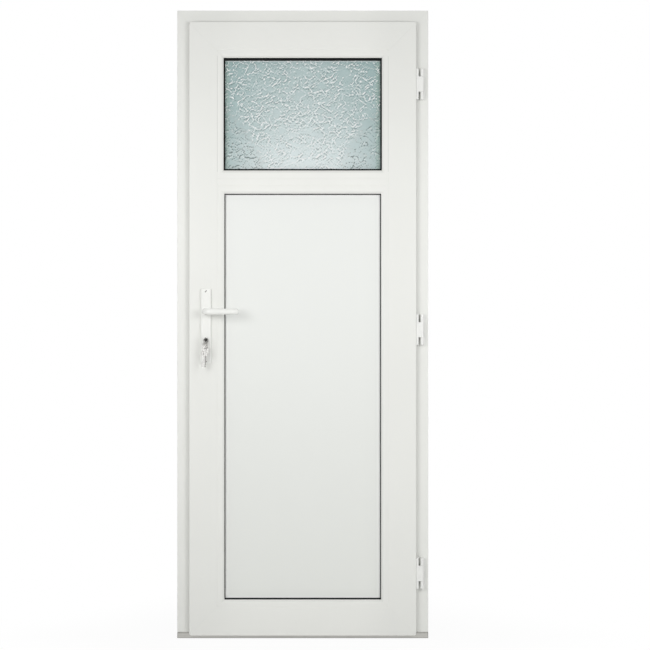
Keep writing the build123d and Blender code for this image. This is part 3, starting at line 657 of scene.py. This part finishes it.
columns = round(pane_width / GRID_STEP)
rows = round(pane_height / GRID_STEP)
base = pane_low.y + RELIEF
bpy.ops.object.select_all(action="DESELECT")
bpy.ops.mesh.primitive_grid_add(
    x_subdivisions=columns,
    y_subdivisions=rows,
    size=1.0,
    rotation=(QUARTER_TURN, 0.0, 0.0),
    location=(0.0, base, pane_middle),
)
pane = bpy.context.object
pane.scale = (pane_width / DRAW, pane_height, 1.0)
bpy.ops.object.transform_apply(location=True, rotation=True, scale=True)
print("The grid has", columns, "columns,", rows, "rows and", len(pane.data.vertices), "points")

# %% [markdown]
# The smooth islands come from a vertex group. Soft noise says how deep the roller bites at each point,
# and the Displace modifier weakens its push where the weight is low.

# %% Mark the smooth islands
ISLANDS_A_METRE = 40.0
ISLAND_SOFTNESS, ISLAND_RATIO, ISLAND_LAYERS = 1.0, 2.0, 2
ISLAND_WEIGHT, MEAN_WEIGHT, WEIGHT_SWING = 0.5, 0.95, 1.3

rough_zones = pane.vertex_groups.new(name="crackle")
for vertex in pane.data.vertices:
    spot = vertex.co * ISLANDS_A_METRE
    swing = noise.fractal(spot, ISLAND_SOFTNESS, ISLAND_RATIO, ISLAND_LAYERS)
    weight = min(1.0, max(ISLAND_WEIGHT, MEAN_WEIGHT + WEIGHT_SWING * swing))
    rough_zones.add([vertex.index], weight, "REPLACE")
print("The group", rough_zones.name, "weakens the relief to", ISLAND_WEIGHT, "on the islands")

# %% [markdown]
# Two textures do the pressing. The first is a crackle of cells, bent by noise: it presses the insides of
# the cells down and leaves thin curved ridges between them. The second raises finer chips, which break
# the ridges into short strokes. Both modifiers are applied, because the heights are read off the mesh
# afterwards.

# %% Press the crackle into the grid
STROKE_CELL, STROKE_BEND = 0.021, 0.8
CHIP_CELL, CHIP_BEND = 0.0085, 2.0
STROKE_PRESS = -0.45 * RELIEF
CHIP_PRESS = 0.42 * RELIEF

strokes = bpy.data.textures.new("crackle_strokes", "DISTORTED_NOISE")
strokes.noise_basis = "VORONOI_CRACKLE"
strokes.noise_scale = STROKE_CELL
strokes.distortion = STROKE_BEND
chips = bpy.data.textures.new("crackle_chips", "DISTORTED_NOISE")
chips.noise_distortion = "VORONOI_CRACKLE"
chips.noise_scale = CHIP_CELL
chips.distortion = CHIP_BEND

select_only(pane)
for texture, strength in ((strokes, STROKE_PRESS), (chips, CHIP_PRESS)):
    press = pane.modifiers.new(texture.name, "DISPLACE")
    press.texture = texture
    press.texture_coords = "LOCAL"
    press.vertex_group = rough_zones.name
    press.mid_level = 0.0
    press.strength = strength
    bpy.ops.object.modifier_apply(modifier=press.name)

pane.scale = (DRAW, 1.0, 1.0)
bpy.ops.object.transform_apply(location=True, rotation=True, scale=True)
relief_heights = [(base - vertex.co.y) / RELIEF for vertex in pane.data.vertices]
lowest, highest = min(relief_heights), max(relief_heights)
print("The relief reaches from", round(lowest, 3), "to", round(highest, 3), "of its depth")

# %% [markdown]
# Glass focuses light in its ridges, more than a shader with few samples can show. So the ridges are measured
# on the mesh. A point that stands above its four neighbours is on a ridge, and a flank is bright where it
# faces the light. Both are brought to the same spread, mixed, and kept as the attribute `ridge`, from which
# the finish paints glints and shade.

# %% Measure the ridges
LIGHT_SIDE = Vector((-0.25, 0.0, 0.95))
FOCUS = 0.68
REACH = 2

line = columns + 1
last = len(relief_heights) - 1
hollows = []
for index, height in enumerate(relief_heights):
    beside = relief_heights[max(0, index - REACH)] + relief_heights[min(last, index + REACH)]
    above_and_below = (
        relief_heights[max(0, index - REACH * line)] + relief_heights[min(last, index + REACH * line)]
    )
    hollows.append(beside + above_and_below - 4 * height)
flanks = [normal.vector.dot(LIGHT_SIDE) for normal in pane.data.vertex_normals]
flank_spread, hollow_spread = pstdev(flanks), pstdev(hollows)
ridges = [
    (1 - FOCUS) * flank / flank_spread - FOCUS * hollow / hollow_spread
    for flank, hollow in zip(flanks, hollows)
]
pane.data.attributes.new("ridge", "FLOAT", "POINT").data.foreach_set("value", ridges)
print("The ridges reach from", round(min(ridges), 2), "to", round(max(ridges), 2))

# %% [markdown]
# So far the pane is a sheet without a back. Filling its rim with one large face would close it, but that
# face would smear the attribute of the rim across the whole rear. Instead the whole sheet is extruded and
# its copy flattened at the rear, so that every point keeps its value and the crackle also shows from out
# of doors.

# %% Close the pane
SMOOTH_ANGLE = 0.6

bpy.ops.object.mode_set(mode="EDIT")
bpy.ops.mesh.select_mode(type="FACE")
bpy.ops.mesh.select_all(action="SELECT")
bpy.ops.mesh.extrude_region_move(TRANSFORM_OT_translate={"value": (0.0, pane_high.y - pane_low.y, 0.0)})
rear = Vector((0.0, pane_high.y, 0.0))
bpy.ops.transform.resize(value=(1.0, 0.0, 1.0), center_override=rear)
bpy.ops.mesh.select_all(action="SELECT")
bpy.ops.mesh.normals_make_consistent(inside=False)
bpy.ops.object.mode_set(mode="OBJECT")
bpy.ops.object.shade_smooth_by_angle(angle=SMOOTH_ANGLE)
hand_over(pane, "crackled_pane", "leaf", "obscured_glass")
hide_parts("glass_front_pane")

# %% [markdown]
# ## Screws
#
# Backplates, faceplate and strike plate are held by small raised countersunk screws. One head is
# modelled: a disc whose top edge is rounded with Bevel, and a bar that cuts its slot with Boolean. The
# head could also be spun from a profile, but a disc and a bevel need fewer steps.

# %% Model one screw head
HEAD_RADIUS = 0.0038
HEAD_HEIGHT = 0.0022
HEAD_ROUNDING = 0.0013
HEAD_SIDES, ROUNDING_STEPS = 32, 3
SLOT_WIDTH = 0.0022
SLOT_BAR_LENGTH, SLOT_BAR_HEIGHT = 3 * HEAD_RADIUS, 0.9 * HEAD_HEIGHT
UPWARDS = 0.9

bpy.ops.object.select_all(action="DESELECT")
bpy.ops.mesh.primitive_cube_add(size=1.0, location=(0.0, 0.0, HEAD_HEIGHT))
bar = bpy.context.object
bar.scale = (SLOT_BAR_LENGTH, SLOT_WIDTH, SLOT_BAR_HEIGHT)
bpy.ops.mesh.primitive_cylinder_add(vertices=HEAD_SIDES, radius=HEAD_RADIUS, depth=2 * HEAD_HEIGHT)
screw = bpy.context.object
bpy.ops.object.mode_set(mode="EDIT")
bpy.ops.mesh.select_mode(type="FACE")
bpy.ops.mesh.select_all(action="DESELECT")
bpy.ops.object.mode_set(mode="OBJECT")
for face in screw.data.polygons:
    face.select = face.normal.z > UPWARDS
bpy.ops.object.mode_set(mode="EDIT")
bpy.ops.mesh.bevel(offset=HEAD_ROUNDING, segments=ROUNDING_STEPS, affect="EDGES")
bpy.ops.object.mode_set(mode="OBJECT")
cut = screw.modifiers.new("slot", "BOOLEAN")
cut.object = bar
cut.operation = "DIFFERENCE"
bpy.ops.object.modifier_apply(modifier=cut.name)
bpy.data.objects.remove(bar)
bpy.ops.object.shade_smooth_by_angle(angle=SMOOTH_ANGLE)
print("The screw head has", len(screw.data.polygons), "faces")

# %% [markdown]
# The slot is a narrow recess, so it gets painted shade. The faces that the bar has left are marked with an
# attribute, which the white coating reads and turns dark. The copies of the head take it along.

# %% Mark the slot for painted shade
SLOT_REACH = 0.51 * SLOT_WIDTH
SLOT_FLOOR = 0.5 * HEAD_HEIGHT

in_slot = [
    float(abs(face.center.y) < SLOT_REACH and face.center.z > SLOT_FLOOR) for face in screw.data.polygons
]
screw.data.attributes.new("slot_shade", "FLOAT", "FACE").data.foreach_set("value", in_slot)
print(round(sum(in_slot)), "faces of the screw head are in its slot")

# %% [markdown]
# A screw sits on a face, so its place is a point on that face, the way the face looks, and how far the
# slot happens to be turned. Each copy has its own mesh, and all screws of one plate become one piece.

# %% Copy the screw to its places
SLOT_TURNS = (0.85, -0.4, 0.3, 1.2)


def set_screws(name, body, slot, points, outward):
    heads = []
    for turn, point in zip(SLOT_TURNS, points):
        select_only(screw)
        bpy.ops.object.duplicate(linked=False)
        head = bpy.context.object
        upright = Vector(outward).to_track_quat("Z", "Y").to_matrix().to_4x4()
        head.matrix_world = Matrix.Translation(point) @ upright @ Matrix.Rotation(turn, 4, "Z")
        heads.append(head)
    select_only(*heads)
    bpy.ops.object.transform_apply(location=True, rotation=True, scale=True)
    bpy.ops.object.join()
    hand_over(bpy.context.object, name, body, slot)


# %% [markdown]
# The backplates have one screw near each end. Their heads stand proud of the plate, so a part of each head
# is left above it.

# %% Screws of the backplates
BACKPLATE_INSET = 0.0095
PROUD_SEAT = 0.4 * HEAD_HEIGHT

for face_side, outward in (("inner", -1.0), ("outer", 1.0)):
    low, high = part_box(f"{face_side}_backplate")
    seat = (low.y if outward < 0 else high.y) - outward * PROUD_SEAT
    plate_ends = (high.z - BACKPLATE_INSET, low.z + BACKPLATE_INSET)
    points = [Vector(((low.x + high.x) / 2, seat, level)) for level in plate_ends]
    set_screws(f"{face_side}_backplate_screws", "leaf", "handle_coating", points, (0.0, outward, 0.0))

# %% [markdown]
# In a strike plate and a faceplate the holes are countersunk, so that the leaf can pass, and the heads sit
# deeper: two in the strike plate on the frame, four along the faceplate on the edge of the leaf.

# %% Screws of the strike plate and the faceplate
STRIKE_INSET = 0.012
OUTER_INSET, INNER_INSET = 0.015, 0.45
FLUSH_SEAT = 0.8 * HEAD_HEIGHT

low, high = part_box("strike_plate")
strike_levels = (low.z + STRIKE_INSET, high.z - STRIKE_INSET)
points = [Vector((high.x - FLUSH_SEAT, (low.y + high.y) / 2, level)) for level in strike_levels]
set_screws("strike_plate_screws", "frame", "lock_steel", points, (1.0, 0.0, 0.0))

low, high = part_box("lock_faceplate")
lock_levels = (low.z + OUTER_INSET, low.z + INNER_INSET, high.z - INNER_INSET, high.z - OUTER_INSET)
points = [Vector((low.x + FLUSH_SEAT, (low.y + high.y) / 2, level)) for level in lock_levels]
set_screws("faceplate_screws", "leaf", "lock_steel", points, (-1.0, 0.0, 0.0))
bpy.data.objects.remove(screw)

# %% [markdown]
# ## Floor
#
# The studio is white. More light would make a grey floor white, but it would also wash out the door. So
# the floor is a real floor that takes the door's shadow, and to the camera, in glass and in metal it is
# mostly an even white. The Light Path node tells those rays apart. Close to the door a little more of the
# real floor shows.

# %% White floor
FLOOR_SIZE = 40.0
FLOOR_LIGHT, FLOOR_DARK = colour(0.84, 0.84, 0.83), colour(0.80, 0.80, 0.79)
WHITE = colour(1.0, 1.0, 1.0)
SHADOW_START, SHADOW_END = 0.5, 1.2
WHITE_NEAR = 0.94
SHADER_SHARE, FIRST_SHADER, SECOND_SHADER = 0, 1, 2


def white_to_the_eye(net):
    """1 for rays that see the studio straight, mirrored or through glass, 0 for rays that light the door."""
    kinds = ("Is Camera Ray", "Is Glossy Ray", "Is Transmission Ray")
    straight, mirrored, through = (net.node("ShaderNodeLightPath", {}, {}, kind) for kind in kinds)
    seen = straight.math("MAXIMUM", straight, mirrored)
    return seen.math("MAXIMUM", seen, through)


bpy.ops.object.select_all(action="DESELECT")
bpy.ops.mesh.primitive_plane_add(size=FLOOR_SIZE)
floor = bpy.context.object
floor.name = "studio_floor"
ground = Finish("studio_floor", Specular_IOR_Level=0.0)
ground.dress(ground.blend(ground.grain(scale=0.7), FLOOR_LIGHT, FLOOR_DARK), roughness=0.9)
lit = Signal(ground, ground.shader.outputs["BSDF"])
even = ground.node("ShaderNodeEmission", {}, {"Color": WHITE, "Strength": 1.0})
away = ground.ramp(abs(ground.place("X")) + abs(ground.place("Y")), SHADOW_START, SHADOW_END)
share = white_to_the_eye(ground) * (WHITE_NEAR + away * (1 - WHITE_NEAR))
mixed_inputs = {SHADER_SHARE: share, FIRST_SHADER: lit, SECOND_SHADER: even}
mixed = ground.node("ShaderNodeMixShader", {}, mixed_inputs)
ground.set(ground.tree.nodes["Material Output"], {"Surface": mixed})
floor.data.materials.append(ground.material)

# %% [markdown]
# ## Light
#
# Two soft lamps stand in front of the door, the brighter one to the left and a little higher up. They are
# close enough to fall off towards the top and the floor, which gives the door its bright middle. A third
# lamp lights the outdoor side. It stands low and aside, so that neither the glass nor the floor shows it
# from the front.

# %% Lamps
LAMP_SIZE = 1.1
AIM = Vector((0.0, 0.0, 1.1))


def soft_lamp(name, place, watts):
    bpy.ops.object.light_add(type="AREA", location=place)
    lamp = bpy.context.object
    lamp.name = name
    lamp.data.shape = "DISK"
    lamp.data.size = LAMP_SIZE
    lamp.data.energy = watts
    lamp.rotation_euler = (AIM - lamp.location).to_track_quat("-Z", "Y").to_euler()
    print(name, "gives", watts, "watts")


soft_lamp("left_lamp", place=(-1.1, -2.0, 1.42), watts=16.3)
soft_lamp("right_lamp", place=(1.2, -2.0, 1.38), watts=15.8)
soft_lamp("back_lamp", place=(1.7, 2.3, 0.9), watts=26.0)

# %% [markdown]
# The world fills the shadows with a soft even light. To the eye it is plain white, like the floor, and
# the same helper tells its rays apart.

# %% World
FILL = 0.468

world = bpy.data.worlds.new("studio")
bpy.context.scene.world = world
world.use_nodes = True
sky = Net(world.node_tree)
strength = FILL + (1 - FILL) * white_to_the_eye(sky)
sky.set(world.node_tree.nodes["Background"], {"Color": WHITE, "Strength": strength})
print("The fill light has a strength of", FILL)

# %% [markdown]
# ## Camera
#
# The door is seen straight on from the room, from four metres away and half its height. The lens follows
# from the width of the view at the frame's face. The door stands a little left of the picture's middle,
# which is a matter of framing, so the lens is shifted and the camera stays straight in front.

# %% Camera
DISTANCE = 4.0
VIEW_WIDTH = 2.0716
EYE_HEIGHT = 0.998
PICTURE_PIXELS = 650
DOOR_LEFT_PIXELS = 22.25
SENSOR_MM = 36.0

eye = (0.0, jamb_low.y - DISTANCE, EYE_HEIGHT)
bpy.ops.object.camera_add(location=eye, rotation=(QUARTER_TURN, 0.0, 0.0))
camera = bpy.context.object
camera.data.sensor_width = SENSOR_MM
camera.data.lens = SENSOR_MM * DISTANCE / VIEW_WIDTH
camera.data.shift_x = DOOR_LEFT_PIXELS / PICTURE_PIXELS
bpy.context.scene.camera = camera
bpy.context.scene.view_settings.view_transform = "Standard"
print("The lens is", round(camera.data.lens, 2), "mm")
